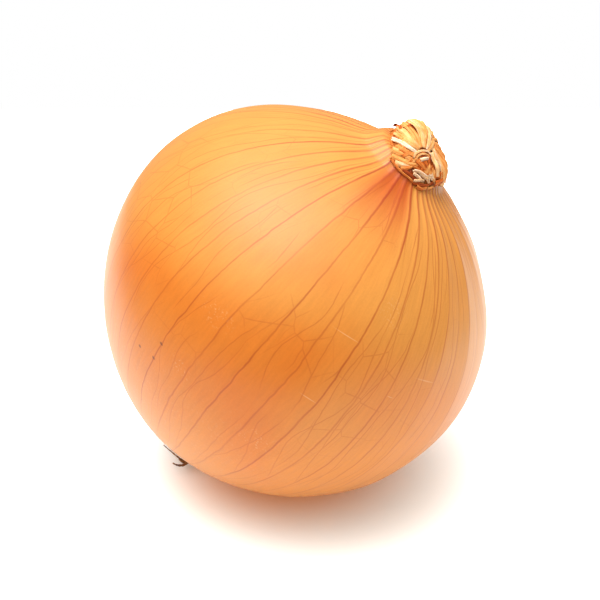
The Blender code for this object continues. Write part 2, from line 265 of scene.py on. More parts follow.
rings, veins = np.meshgrid(ring_angle, column_vein, indexing="ij")
near_neck = 1 - smooth_step(12, 48, rings)
rib = BELLY_RIB + (NECK_PLEAT - BELLY_RIB) * near_neck
rib = rib * smooth_step(9, 13, rings) * smooth_step(168, 150, rings)
turns = vein_turn(veins, rings)
panel_heights = [dice.uniform(-PANEL_WAVE, PANEL_WAVE) for _ in range(vein_count)]
panels = np.interp(veins, np.arange(vein_count), panel_heights, period=vein_count)
panels = panels * smooth_step(14, 34, rings) * smooth_step(150, 110, rings)
skin_points = skin_point(rings, turns, rib * np.cos(2 * math.pi * veins) + panels)
collar = [skin_points[0] * (share, share, 1) + (0, 0, COLLAR_SINK * (1 - share)) for share in COLLAR_SHARES]
hollow_depth = skin_points[-1, :, 2].mean() + ROOT_HOLLOW_DEPTH
hollow_wall = skin_points[-1] * (HOLLOW_TAPER, HOLLOW_TAPER, 0) + (0, 0, hollow_depth)
caps = np.array([[0, 0, collar[0][:, 2].mean()], [0, 0, hollow_depth]])
table_points = on_table(np.concatenate((*collar, skin_points.reshape(-1, 3), hollow_wall, caps)))
table_points[:, 2] = np.maximum(table_points[:, 2], 0)

skin_faces, skin_corners, bake_corners = [], [], []
ring_heights = [*(seat_angle * share for share in COLLAR_SHARES), *ring_angle, hollow_angle + 2]
ring_rows = len(ring_heights)
for row in range(ring_rows - 1):
    for column in range(columns):
        after = (column + 1) % columns
        low, high = row * columns, (row + 1) * columns
        skin_faces.append((low + column, high + column, high + after, low + after))
        left, right = column / COLUMNS_PER_VEIN, (column + 1) / COLUMNS_PER_VEIN
        top, bottom = ring_heights[row], ring_heights[row + 1]
        skin_corners += [(left, top), (left, bottom), (right, bottom), (right, top)]
        half, place = divmod(column, columns // 2)
        left, right = (0.004 + 0.992 * (place + side) * 2 / columns for side in (0, 1))
        top, bottom = (0.5 * half + 0.004 + 0.488 * (row + side) / ring_rows for side in (0, 1))
        bake_corners += [(left, top), (left, bottom), (right, bottom), (right, top)]
for centre, row, order in ((ring_rows * columns, 0, 1), (ring_rows * columns + 1, ring_rows - 1, -1)):
    for column in range(columns):
        edge = (row * columns + column, row * columns + (column + 1) % columns)[::order]
        skin_faces.append((centre, *edge))
        skin_corners += [(column / COLUMNS_PER_VEIN, ring_heights[row])] * 3
        bake_corners += [(0.001, 0.001), (0.002, 0.001), (0.001, 0.002)]

skin = add_mesh("skin", table_points, skin_faces)
add_face_map(skin.data, "veins", skin_corners)
add_face_map(skin.data, "OFBake", bake_corners)
gap_middles = np.arange(vein_count) + 0.5
vein_gap = np.interp((veins + 0.5) % vein_count, gap_middles, np.diff(vein_turns), period=vein_count)
spacing = outline_distance(rings) * np.sin(np.radians(rings)) * vein_gap
boldness = vein_boldness[np.round(veins).astype(int) % vein_count]
inner = np.ones(columns + 2)
collar_spacing = [spacing[0] * share for share in COLLAR_SHARES]
collar_boldness = [boldness[0] for _ in COLLAR_SHARES]
add_point_value(skin.data, "vein_spacing", np.concatenate((*collar_spacing, spacing.ravel(), inner)))
add_point_value(skin.data, "vein_boldness", np.concatenate((*collar_boldness, boldness.ravel(), inner)))

SKIN_AMBER = (0.510, 0.108, 0.002, 1)
SKIN_HONEY_AND_PAINTED_HIGHLIGHT = (0.535, 0.206, 0.029, 1)
SKIN_EMBER_PAINTED_SHADE = (0.370, 0.046, 0.001, 1)
SKIN_STRAW_AND_PAINTED_LIGHT = (0.535, 0.212, 0.036, 1)
VEIN_RUST = (0.280, 0.030, 0.001, 1)
SCUFF_PALE = (0.60, 0.33, 0.14, 1)
SPECK_BROWN = (0.14, 0.034, 0.008, 1)
FINE_VEIN_SHARE, NET_VEIN_SHARE = 0.36, 0.27
SCUFF_SHARE, SCRATCH_SHARE, SPECK_SHARE = 0.42, 0.6, 0.85

# Marks on the front, each with its place and reach, in veins round the bulb and degrees down it.
SCRATCHES = (
    (13.5, 65.5, 0.75, 0.24), (9.6, 63.6, 0.60, 0.22), (9.75, 81.5, 0.35, 0.22), (12.2, 72.0, 0.20, 0.18),
)
SCUFFS = ((10.7, 53.0, 0.9, 6.0), (6.7, 80.0, 0.8, 5.0), (9.6, 101.0, 0.9, 6.0), (6.8, 99.0, 0.6, 4.0))
SPECKS = ((6.0, 99.0, 0.09, 0.55), (6.0, 105.0, 0.09, 0.55), (5.3, 107.0, 0.09, 0.55))
SPECK_CORE = 0.4

skin_finish, skin_shader, start = new_material("papery_onion_skin")
skin.data.materials.append(skin_finish)
spot = start.node("ShaderNodeTexCoord", output="Object")
skin_place = start.node("ShaderNodeUVMap", {"uv_map": "veins"})
vein = start.node("ShaderNodeSeparateXYZ", None, {"Vector": skin_place})
angle = vein.beside("Y")
gap_width = start.node("ShaderNodeAttribute", {"attribute_name": "vein_spacing"}, output="Fac")
bold = start.node("ShaderNodeAttribute", {"attribute_name": "vein_boldness"}, output="Fac")

wander = (start.noise(spot, 95.0) - 0.5) * 0.16 + (start.noise(spot, 420.0, 1.0) - 0.5) * 0.06
wavy_vein = vein + wander
by_neck = 1 - angle.step(14.0, 50.0)
distance = (wavy_vein - (wavy_vein + 0.5).math("FLOOR")).math("ABSOLUTE") * gap_width
main_width = by_neck * 0.13 + 0.09
lasting = start.noise(start.vector(wavy_vein * 0.8, angle * 0.05), 1.0, 2.0, "2D").step(0.25, 0.6) * 0.4 + 0.6
main_vein = (1 - distance.step(main_width * 0.4, main_width + 0.16)) * bold * lasting
main_vein = main_vein * (by_neck * 0.25 + 0.72) * (1 - angle.step(105.0, 150.0) * 0.55)

gap_number = wavy_vein.math("FLOOR")
gap_share = wavy_vein - gap_number


def side_vein(seed, middle, swing):
    """A thin vein that strays about the middle between two main ones and runs into them at times."""
    track = start.vector(angle * 0.024 + gap_number * 3.7, gap_number * 11.3 + seed)
    way = ((start.noise(track, 1.0, 1.0, "2D") - 0.5) * swing).math("ADD", middle, clamp=True)
    stretch = start.vector(angle * 0.03 + seed, gap_number * 5.9 + seed)
    shown = start.noise(stretch, 1.0, 1.0, "2D").step(0.36, 0.52)
    return (1 - ((gap_share - way).math("ABSOLUTE") * gap_width).step(0.03, 0.16)) * shown


fine_veins = side_vein(2.0, 0.36, 2.0).math("MAXIMUM", side_vein(31.0, 0.66, 2.4))
net_place = start.vector(wavy_vein * 1.15, angle * 0.105)
net = start.node(
    "ShaderNodeTexVoronoi", {"voronoi_dimensions": "2D", "feature": "DISTANCE_TO_EDGE"},
    {"Vector": net_place, "Scale": 1.0, "Randomness": 0.9}, "Distance",
)
net_patches = start.noise(spot, 60.0, 1.0).step(0.46, 0.60)
net_shown = net_patches * angle.step(20.0, 34.0) * (1 - angle.step(80.0, 104.0))
net_veins = (1 - net.step(0.006, 0.028)) * net_shown * (1 - wavy_vein.step(11.0, 13.0) * 0.7)
fine_fade = 1 - angle.step(80.0, 130.0) * 0.5
all_veins = (main_vein * (by_neck * 0.08 + 0.90)).math("MAXIMUM", fine_veins * fine_fade * FINE_VEIN_SHARE)
all_veins = all_veins.math("MAXIMUM", net_veins * NET_VEIN_SHARE)


def mark(veins_round, degrees, reach_round, reach_down, core=0.0):
    """1 at a place on the skin, fading to 0 at its reach in veins round and degrees down."""
    off = start.vector((vein - veins_round) * (1 / reach_round), (angle - degrees) * (1 / reach_down))
    away = start.node("ShaderNodeVectorMath", {"operation": "LENGTH"}, {"Vector": off}, "Value")
    return 1 - away.step(core, 1.0)


# The skin's tones: honey above, which is painted highlight, amber across the belly, paler straw low
# down, partly painted light from below, and at the right and upper edges, and ember in the hollow
# at the front, under the neck's foot, which is painted shade.
mottle = start.noise(spot, 38.0, 3.0)
clouds = start.noise(spot, 24.0, 2.0)
streaks = start.noise(start.vector(wavy_vein * 9.0, angle * 0.12), 1.0, 3.0, "2D")
grain = start.noise(spot, 2600.0, 2.0)
# Painted highlight: the skin turns paler honey towards the top, where the overhead light falls; elsewhere
# honey only mottles the amber at random.
veins_off_top = vein.math("PINGPONG", vein_count / 2).math("MINIMUM", 10.0)
upper = 1 - (angle + veins_off_top * 3.5).step(87.0, 106.0)
ground = start.blend(SKIN_AMBER, SKIN_HONEY_AND_PAINTED_HIGHLIGHT, mottle.step(0.35, 0.65) * 0.3 + upper * 0.7)
lower = angle.step(80.0, 130.0)
right_side = wavy_vein.step(8.8, 10.8) * (1 - wavy_vein.step(19.0, 27.0))
top_side = 1 - wavy_vein.step(0.5, 4.0) * (1 - wavy_vein.step(34.0, 38.0))
right_paler = right_side * (1 - angle.step(45.0, 75.0) * 0.4) * 0.85
# Low down the paler straw is partly the skin's own paler tone and partly painted light, standing for light
# that comes through the flesh and up off the table.
paler = (lower * 0.62).math("MAXIMUM", right_paler).math("MAXIMUM", top_side * 0.75)
ground = start.blend(ground, SKIN_STRAW_AND_PAINTED_LIGHT, paler * (clouds * 0.8 + 0.6))
# Painted shade: a darker ember in the hollow at the front, under the neck's foot.
painted_shade_under_neck = vein.step(5.6, 7.2) * (1 - vein.step(9.4, 10.2)) * (1 - angle.step(14.0, 46.0))
ground = start.blend(ground, SKIN_EMBER_PAINTED_SHADE, painted_shade_under_neck * 0.85)
shade = streaks * 0.20 + grain * 0.12 + 0.84
ground = start.blend(ground, start.vector(shade, shade, shade), 1.0, "MULTIPLY")

flecks = start.noise(spot, 2300.0, 2.0).step(0.54, 0.72)
scuffed = flecks * lower * 0.18
for place in SCUFFS:
    scuffed = scuffed.math("MAXIMUM", mark(*place) * flecks * SCUFF_SHARE)
for place in SCRATCHES:
    scuffed = scuffed.math("MAXIMUM", mark(*place) * SCRATCH_SHARE)
ground = start.blend(ground, SCUFF_PALE, scuffed)
ground = start.blend(ground, VEIN_RUST, all_veins)
specks = mark(*SPECKS[0], SPECK_CORE)
for place in SPECKS[1:]:
    specks = specks.math("MAXIMUM", mark(*place, SPECK_CORE))
ground = start.blend(ground, SPECK_BROWN, specks * SPECK_SHARE)

skin_height = all_veins * 0.02 + streaks * 0.03 + grain * 0.012
skin_bump = start.node("ShaderNodeBump", None, {"Height": skin_height, "Strength": 0.5, "Distance": 0.001})
connect(skin_shader, Base_Color=ground, Roughness=mottle * 0.12 + streaks * 0.08 + 0.30, Normal=skin_bump)
skin_shader.inputs["Metallic"].default_value = 0.0
skin_shader.inputs["IOR"].default_value = 1.5
skin_shader.inputs["Specular IOR Level"].default_value = 0.33

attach(skin, "root")
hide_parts("bulb")


# The dried neck. The leaf tops have withered to straw-coloured paper and been torn short. They
# fold forward over the stump like a bonnet and gather in a knot at the front, with the torn
# ends round its foot and frayed pale threads below the knot. It's all one withered stem.

NECK_FRONT = math.radians(251)
NECK_GAP = 0.3
BONNET_MIDDLE, BONNET_HALF_WIDTH, BONNET_HALF_DEPTH = (1.3, 0.9), 6.8, 6.1
BONNET_HEIGHT, BONNET_SLOPE, BONNET_CHEEK = 4.9, 0.66, 0.14
SHOULDER_RADII, SHOULDER_FALLS = (6.9, 9.7, 16.2), (0.0, 2.9, 5.6)
STRIP_ROWS, STRIP_COLUMNS = 22, 7
BACK_FOLDS, TORN_ENDS, TORN_ROWS = 10, 34, 8
BACK_FOLD_SHARES, TORN_END_SHARES = (1.03, 0.85, 0.55, 0.2), (0.82, 0.93)
THREAD_TONE, STUMP_TONE = 0.90, 0.33
STUMP_RINGS, STUMP_COLUMNS, STUMP_CREASES = 40, 96, 17
COLUMNS_PER_STRIP, STUMP_RING_GAP = 6, 0.18

# The turns about the bonnet's middle where its cheek is flattest and its torn ends are shortest.
CHEEK_TURN, SHORT_TURN = 2.7, 0.5

# How thick the dry paper and the threads are, in metres.
LEAF_THICKNESS, THREAD_THICKNESS = 0.00010, 0.00018

# How the front is seen, in millimetres and in pixels of a picture 600 across.
VIEW_RISE = math.radians(30)
VIEW_DISTANCE, VIEW_ASIDE, VIEW_UP = 450.0, 2.76, 0.62
LENS, SENSOR = 134.0, 36.0
PICTURE = 600

# Each strip on the front: its tone from dark to pale, its width in millimetres, and the places
# that it runs through: pixels across and down in that picture, and millimetres off the bonnet.
FRONT_STRIPS = (
    (0.66, 1.4, ((395.3, 132.1, 0.2), (401.3, 136.7, 0.35), (410.5, 142.8, 0.45), (418.9, 149.7, 0.35))),
    (0.74, 1.5, ((398.9, 127.4, 0.2), (405.1, 132.9, 0.4), (412.8, 141.3, 0.45), (419.7, 149.0, 0.4))),
    (0.6, 1.6, ((403.2, 123.6, 0.2), (409.7, 128.3, 0.4), (415.9, 136.7, 0.5), (420.8, 148.2, 0.4))),
    (0.76, 1.6, ((409.2, 121.6, 0.2), (415.9, 125.2, 0.45), (421.2, 134.4, 0.55), (422.4, 148.2, 0.4))),
    (0.62, 1.5, ((415.0, 121.8, 0.2), (422.0, 125.2, 0.45), (425.0, 134.4, 0.5), (423.5, 148.2, 0.4))),
    (0.8, 1.5, ((421.2, 123.0, 0.2), (427.3, 129.8, 0.45), (428.1, 139.8, 0.5), (425.4, 149.7, 0.4))),
    (0.7, 1.3, ((427.3, 127.5, 0.2), (432.3, 135.2, 0.35), (431.9, 142.8, 0.45), (427.3, 151.3, 0.4))),
    (0.78, 1, ((432.7, 138.3, 0.25), (433.8, 144.4, 0.35), (431.2, 150.5, 0.4))),
    (0.94, 0.9, ((391.8, 138.8, 0.9), (399.8, 141.7, 0.95), (409.0, 147.1, 0.9), (417.0, 152.8, 0.7))),
    (0.5, 1.3, ((394.8, 144.8, 0.2), (402.8, 149.0, 0.3), (411.3, 153.6, 0.35), (416.6, 156.6, 0.35))),
    (0.64, 1.6, ((391.8, 150.5, 0.2), (399.0, 153.6, 0.25), (407.4, 157.4, 0.3), (415.9, 160.4, 0.35))),
    (0.56, 1.6, ((390.8, 157.0, 0.2), (398.3, 160.4, 0.2), (406.7, 163.5, 0.3), (416.6, 165.0, 0.35))),
    (0.8, 1.2, ((394.8, 163.5, 0.25), (402.8, 165.4, 0.3), (412.0, 166.6, 0.4))),
    (0.46, 0.7, ((400.6, 168.9, 0.45), (407.4, 168.1, 0.55), (413.6, 166.2, 0.6))),
    (0.34, 0.55, ((412.8, 166.2, 0.65), (418.1, 168.5, 0.75), (423.5, 171.9, 0.8), (429.2, 175.4, 0.75))),
    (0.46, 0.5, ((391.0, 158.5, 0.25), (394.4, 163.5, 0.3), (398.3, 168.5, 0.35),
     (402.8, 173.1, 0.35), (409.0, 178.0, 0.35), (414.3, 183.0, 0.35))),
    (0.38, 1.6, ((416.6, 160.4, 0.3), (421.2, 165.0, 0.3), (427.3, 171.2, 0.3))),
    (0.28, 1.2, ((420.4, 158.9, 0.3), (425.0, 164.3, 0.35), (428.9, 169.6, 0.3))),
    (0.04, 1.1, ((400.6, 170.0, 0.1), (406.7, 173.5, 0.1), (412.8, 178.8, 0.1), (418.1, 183.4, 0.1))),
    (0.06, 1, ((413.6, 168.9, 0.15), (419.7, 173.5, 0.15), (427.3, 177.3, 0.15))),
    (0.16, 0.9, ((412.8, 182.2, 0.3), (419.7, 184.9, 0.35), (426.6, 185.3, 0.35), (433.5, 181.9, 0.35))),
    (0.42, 0.8, ((416.2, 186.1, 0.25), (421.2, 189.1, 0.3), (426.6, 188.0, 0.3))),
    (0.52, 0.6, ((427.3, 188.4, 0.25), (431.2, 187.6, 0.3), (434.6, 185.7, 0.3))),
    (0.8, 1.6, ((431.2, 152.8, 0.5), (434.6, 160.4, 0.6), (437.3, 168.1, 0.65), (437.3, 176.5, 0.6))),
    (0.86, 0.8, ((433.5, 149.7, 0.45), (437.3, 158.1, 0.55), (440.3, 165.8, 0.6), (441.1, 173.5, 0.6))),
    (0.24, 0.5, ((433.8, 147.1, 0.3), (438.8, 155.9, 0.35), (442.6, 163.5, 0.4), (445.5, 170.8, 0.45))),
    (0.78, 0.9, ((439.6, 163.5, 0.55), (442.6, 170.4, 0.6), (442.6, 175.7, 0.6), (441.1, 179.6, 0.55))),
    (0.88, 0.7, ((431.5, 173.5, 0.6), (433.5, 179.6, 0.7), (435.4, 183.4, 0.65))),
    (0.18, 0.6, ((429.2, 155.1, 0.3), (429.2, 162.7, 0.3), (430.8, 170.4, 0.3))),
    (0.30, 1.3, ((434.5, 184.0, 0.9), (438.5, 182.5, 1.1), (442.5, 180.3, 1.1), (446.0, 177.5, 1.0))),
    (0.46, 0.7, ((443.0, 173.8, 0.45), (444.9, 172.7, 0.5), (446.3, 171.5, 0.5))),
    (0.86, 0.5, ((413.4, 157.8, 0.7), (416.2, 153.2, 0.9), (422.0, 150.7, 1),
     (427.7, 151.6, 0.9), (431.0, 155.1, 0.75))),
    (0.72, 0.4, ((416.2, 160.4, 0.6), (418.1, 155.9, 0.75), (422.7, 153.9, 0.8),
     (427.3, 154.7, 0.75), (429.2, 157.4, 0.6))),
    (0.92, 0.7, ((420.4, 160.1, 0.6), (424.3, 158.9, 0.75), (428.1, 158.1, 0.65))),
    (0.08, 0.35, ((420.4, 156.6, 0.55), (423.5, 156.2, 0.6), (426.6, 156.5, 0.55))),
    (0.24, 0.9, ((394.9, 124.8, 0.45), (396.8, 125.6, 0.5), (398.8, 127.2, 0.4))),
    (0.22, 0.7, ((399.2, 127.0, 0.8), (400.6, 128.2, 0.8), (401.8, 129.4, 0.7))),
    (0.22, 0.5, ((408.0, 125.0, 0.8), (410.2, 126.6, 0.8), (412.6, 128.8, 0.7))),
)

# Each thread in front: its width, and the places that it runs through.
THREADS = (
    (0.55, ((413.6, 170.8, 0.8), (418.9, 171.5, 1), (424.3, 175.0, 1.1), (429.6, 179.2, 0.9))),
    (0.4, ((413.6, 173.5, 0.7), (418.1, 176.5, 0.9), (421.2, 180.0, 0.9), (423.5, 181.1, 0.7))),
    (0.4, ((413.6, 180.7, 0.7), (418.9, 180.5, 0.9), (423.5, 180.0, 0.8))),
    (0.45, ((424.3, 176.5, 0.9), (427.3, 179.6, 1.1), (428.9, 183.0, 0.8))),
    (0.4, ((428.1, 175.7, 0.9), (431.9, 176.5, 1.1), (431.5, 179.6, 0.9))),
    (0.32, ((418.9, 172.7, 0.8), (425.0, 177.3, 1), (431.2, 178.0, 0.9))),
)

neck_facing = np.array((math.cos(NECK_FRONT), math.sin(NECK_FRONT), 0))
neck_aside = np.array((-math.sin(NECK_FRONT), math.cos(NECK_FRONT), 0))
neck_seat = outline_distance(seat_angle) * math.cos(math.radians(seat_angle)) + NECK_GAP


def neck_point(across, front, up):
    """Points of the neck, across its front, towards the front and above its seat, in millimetres."""
    across, front, up = (np.asarray(value, float)[..., None] for value in (across, front, up))
    return across * neck_aside + front * neck_facing + (neck_seat + up) * np.array((0, 0, 1.0))


def bonnet_up(across, front):
    """The bonnet's height over its seat, with the skin's shoulder falling away round it."""
    side = (across - BONNET_MIDDLE[0]) / BONNET_HALF_WIDTH
    fore = (front - BONNET_MIDDLE[1]) / BONNET_HALF_DEPTH
    cheek = 1 - BONNET_CHEEK * np.exp(-(((np.arctan2(fore, side) - CHEEK_TURN) / 0.35) ** 2))
    share = np.minimum(np.hypot(side, fore) / cheek, 1)
    behind = smooth_step(4.0, -4.0, np.asarray(front, float))
    hump = (1 - share**2) ** 0.4 * np.maximum(1 - BONNET_SLOPE * across / BONNET_HALF_WIDTH, 0.2)
    fall = np.interp(np.hypot(across, front), SHOULDER_RADII, SHOULDER_FALLS)
    return BONNET_HEIGHT * hump * (0.72 + 0.28 * behind) - fall


view_right = np.array((1.0, 0, 0)) @ lean_turn
view_above = np.array((0, math.sin(VIEW_RISE), math.cos(VIEW_RISE))) @ lean_turn
view_toward = np.array((0, -math.cos(VIEW_RISE), math.sin(VIEW_RISE))) @ lean_turn
view_scale = PICTURE * LENS / SENSOR / VIEW_DISTANCE


def sight_place(x, y, nearness):
    """The place that shows at this pixel, so many millimetres nearer than the bulb's centre."""
    right, above = (x - PICTURE / 2) / view_scale, (PICTURE / 2 - y) / view_scale
    spread = 1 - nearness / VIEW_DISTANCE
    level = view_right * (VIEW_ASIDE + right * spread) + view_above * (VIEW_UP + above * spread)
    return level + view_toward * nearness


def seen_point(x, y, lift):
    """The place on the bonnet, lifted off it, that shows at this pixel, or the nearest to it."""
    places = sight_place(x, y, np.linspace(38, 2, 720)[:, None])
    across, front, up = places @ neck_aside, places @ neck_facing, places[:, 2] - neck_seat
    gap = up - bonnet_up(across, front) - lift
    reached = np.nonzero(gap <= 0)[0]
    return places[reached[0] if len(reached) else gap.argmin()]


def smooth_line(points, count):
    """A smooth line of count points through the given rows of numbers."""
    points = np.asarray(points, float)
    padded = np.concatenate((2 * points[:1] - points[1:2], points, 2 * points[-1:] - points[-2:-1]))
    places = np.linspace(0, len(points) - 1, count)
    span = np.minimum(places.astype(int), len(points) - 2)
    t = (places - span)[:, None]
    a, b, c, d = (padded[span + step] for step in range(4))
    return 0.5 * (2 * b + (c - a) * t + (2 * a - 5 * b + 4 * c - d) * t**2 + (3 * b - a - 3 * c + d) * t**3)


class Strips:
    """Thin leaf strips gathered into one mesh, with each corner's place on its strip and its tone."""

    def __init__(self, seed):
        self.dice = random.Random(seed)
        self.points, self.faces, self.corners, self.tones = [], [], [], []

    def add(self, line, widths, outward, tone, curl=0.22, fray=0.25, crumple=0.07):
        """One strip along a line of points: it arches across its width and is torn at its ends."""
        rows = len(line)
        along = np.gradient(line, axis=0)
        along /= np.linalg.norm(along, axis=1, keepdims=True)
        across = np.cross(along, outward)
        across /= np.linalg.norm(across, axis=1, keepdims=True)
        raised = np.cross(across, along)
        base = len(self.points)
        length = np.concatenate(([0], np.cumsum(np.linalg.norm(np.diff(line, axis=0), axis=1))))
        creases = [self.dice.uniform(-1, 1) for _ in range(STRIP_COLUMNS)]
        strip_number = self.dice.random() * 50
        for row in range(rows):
            end = max(0.0, 1 - min(row, rows - 1 - row) / 2)
            for column in range(STRIP_COLUMNS):
                side = 2 * column / (STRIP_COLUMNS - 1) - 1
                ragged = 1 + self.dice.uniform(-0.10, 0.06) * abs(side) ** 3
                arch = curl * (1 - side**2) - 0.1 * curl + crumple * creases[column]
                arch += crumple * 0.5 * math.sin(length[row] * 2.3 + creases[column] * 3)
                torn = fray * end * self.dice.uniform(-1, 1)
                point = line[row] + across[row] * side * widths[row] / 2 * ragged
                point = point + raised[row] * arch * widths[row] + along[row] * torn * widths[row] * 0.5
                self.points.append(point)
                self.tones.append(tone)
        for row in range(rows - 1):
            for column in range(STRIP_COLUMNS - 1):
                low = base + row * STRIP_COLUMNS + column
                high = low + STRIP_COLUMNS
                self.faces.append((low, low + 1, high + 1, high))
                left, right = (strip_number + (column + side) / (STRIP_COLUMNS - 1) for side in (0, 1))
                top, bottom = length[row], length[row + 1]
                self.corners += [(left, top), (right, top), (right, bottom), (left, bottom)]

    def build(self, name, thickness):
        made = add_mesh(name, on_table(self.points), self.faces)
        add_face_map(made.data, "strips", self.corners)
        add_point_value(made.data, "tone", self.tones)
        solid = made.modifiers.new("Paper", "SOLIDIFY")
        solid.thickness = thickness
        solid.offset = 0.0
        return made


def outward_of(line):
    """The way out of the bonnet at each point of a line."""
    middle = neck_point(BONNET_MIDDLE[0], BONNET_MIDDLE[1], -2.0)
    away = line - middle
    return away / np.linalg.norm(away, axis=1, keepdims=True)


neck_strips = Strips(12)
for tone, width, path in FRONT_STRIPS:
    line = smooth_line([seen_point(*place) for place in path], STRIP_ROWS)
    taper = 1 - 0.35 * np.linspace(0, 1, STRIP_ROWS) ** 2
    neck_strips.add(line, width * taper, outward_of(line), tone)

dice = random.Random(21)
for number in range(BACK_FOLDS):
    turn = math.pi * (1.02 + 0.98 * (number + 0.5) / BACK_FOLDS)
    path = []
    for share in BACK_FOLD_SHARES:
        across = BONNET_MIDDLE[0] + share * BONNET_HALF_WIDTH * math.cos(turn + 0.25 * share)
        front = BONNET_MIDDLE[1] + share * BONNET_HALF_DEPTH * math.sin(turn + 0.25 * share)
        path.append(neck_point(across, front, bonnet_up(across, front) + 0.30 - 0.2 * (share > 1)))
    line = smooth_line(path, STRIP_ROWS)
    widths = np.linspace(dice.uniform(2.4, 3.2), 1.1, STRIP_ROWS)
    neck_strips.add(line, widths, outward_of(line), dice.uniform(0.5, 0.8))
for number in range(TORN_ENDS):
    turn = math.tau * (number + dice.uniform(-0.3, 0.3)) / TORN_ENDS
    flare = dice.uniform(0.0, 0.5)
    shrink = 1 - BONNET_CHEEK * math.exp(-(((turn - CHEEK_TURN) / 0.5) ** 2))
    reach = dice.uniform(1.0, 1.10) - 0.12 * math.exp(-(((turn - SHORT_TURN) / 0.7) ** 2))
    path = []
    for share in (*TORN_END_SHARES, reach):
        across = BONNET_MIDDLE[0] + share * shrink * BONNET_HALF_WIDTH * math.cos(turn)
        front = BONNET_MIDDLE[1] + share * shrink * BONNET_HALF_DEPTH * math.sin(turn)
        up = bonnet_up(across, front) * 0.8 + 0.1 + flare * (share - 0.8) * 3
        path.append(neck_point(across, front, up))
    line = smooth_line(path, TORN_ROWS)
    widths = np.linspace(dice.uniform(1.6, 2.4), dice.uniform(0.6, 1.5), TORN_ROWS)
    neck_strips.add(line, widths, outward_of(line), dice.choice((0.3, 0.42, 0.55, 0.62)), fray=0.6)
neck_leaves = neck_strips.build("neck_leaves", LEAF_THICKNESS)

neck_threads = Strips(4)
for width, path in THREADS:
    line = smooth_line([seen_point(*place) for place in path], STRIP_ROWS)
    widths = np.linspace(width, width * 0.6, STRIP_ROWS)
    for twin in (-0.12, 0.12):
        shifted = line + np.array((0, 0, twin))
        outward = outward_of(line)
        neck_threads.add(shifted, widths * 0.7, outward, THREAD_TONE, curl=0.5, fray=1.2, crumple=0.15)
threads = neck_threads.build("neck_threads", THREAD_THICKNESS)


def disc_grid(rings, columns):
    """How far out each point of a disc lies, and its turn: ring by ring from the middle."""
    turns_round = np.linspace(0, math.tau, columns, endpoint=False)
    return np.meshgrid(np.linspace(0.001, 1, rings), turns_round, indexing="ij")


def disc_faces(rings, columns):
    """The faces between the rings of such a disc."""
    faces = []
    for low in range(0, (rings - 1) * columns, columns):
        for column in range(columns):
            after = (column + 1) % columns
            faces.append((low + column, low + after, low + columns + after, low + columns + column))
    return faces


share, around = disc_grid(STUMP_RINGS, STUMP_COLUMNS)
across = BONNET_MIDDLE[0] + share * BONNET_HALF_WIDTH * np.cos(around)
front = BONNET_MIDDLE[1] + share * BONNET_HALF_DEPTH * np.sin(around)
creases = 0.16 * np.cos(STUMP_CREASES * around + 2 * share)
creases = creases * smooth_step(0.15, 0.6, share) * (1 - share**4)
stump_up = bonnet_up(across, front) + creases - 0.25 * smooth_step(0.95, 1.0, share)
stump_points = neck_point(across, front, stump_up).reshape(-1, 3)
stump_faces = disc_faces(STUMP_RINGS, STUMP_COLUMNS)
stump_corners = []
for number, face in enumerate(stump_faces):
    closes_ring = number % STUMP_COLUMNS == STUMP_COLUMNS - 1
    for corner in face:
        row, column = divmod(corner, STUMP_COLUMNS)
        if closes_ring and column == 0:
            column = STUMP_COLUMNS
        stump_corners.append((column / COLUMNS_PER_STRIP, row * STUMP_RING_GAP))
stump = add_mesh("neck_stump", on_table(stump_points), stump_faces)
add_face_map(stump.data, "strips", stump_corners)
add_point_value(stump.data, "tone", np.full(len(stump_points), STUMP_TONE))

LEAF_TONES = (
    (0.00, (0.260, 0.034, 0.003, 1)), (0.30, (0.560, 0.112, 0.008, 1)), (0.62, (0.720, 0.310, 0.075, 1)),
    (0.82, (0.760, 0.430, 0.180, 1)), (1.00, (0.820, 0.640, 0.500, 1)),
)
leaf_finish, leaf_shader, start = new_material("withered_leaf")
strip_place = start.node("ShaderNodeUVMap", {"uv_map": "strips"})
strip_side = start.node("ShaderNodeSeparateXYZ", None, {"Vector": strip_place})
strip_along = strip_side.beside("Y")
tone = start.node("ShaderNodeAttribute", {"attribute_name": "tone"}, output="Fac")
spot = start.node("ShaderNodeTexCoord", output="Object")
fibres = start.noise(start.vector(strip_side * 9.0, strip_along * 0.35), 1.0, 3.0, "2D")
dark_place = start.vector(strip_side * 22.0, strip_along * 0.25)
dark_fibres = start.noise(dark_place, 1.0, 1.0, "2D").step(0.58, 0.70)
blotch = start.noise(spot, 700.0, 2.0)
edge = ((strip_side.math("FRACT") - 0.5).math("ABSOLUTE") * 2).step(0.80, 1.0)
leaf_tone = tone + (fibres - 0.5) * 0.55 + (blotch - 0.5) * 0.35 - edge * 0.16 - dark_fibres * 0.12
leaf_colour = start.node("ShaderNodeValToRGB", {"stops": LEAF_TONES}, {"Fac": leaf_tone})
leaf_height = fibres * 0.10 + dark_fibres * -0.04
leaf_bump = start.node("ShaderNodeBump", None, {"Height": leaf_height, "Strength": 0.7, "Distance": 0.001})
connect(leaf_shader, Base_Color=leaf_colour, Roughness=fibres * 0.2 + 0.55, Normal=leaf_bump)
leaf_shader.inputs["Specular IOR Level"].default_value = 0.2
for piece in (neck_leaves, threads, stump):
    piece.data.materials.append(leaf_finish)
    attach(piece, "root")
    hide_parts("neck")


# The root tuft. A corky plate fills the hollow at the bulb's base, and short dry roots curl out
# of it, brown and brittle. Three longer ones show past the bulb, just clear of the table.

ROOT_COUNT, ROOT_STEPS, ROOT_RADIUS = 96, 9, 0.24
ROOT_KNOTS = 26
PLATE_RADIUS, PLATE_CROWN = 7.1, 0.9
PLATE_RINGS, PLATE_COLUMNS = 26, 72
ROOT_FLOOR, ROOT_SKIN_CLEAR = 0.6, 0.5

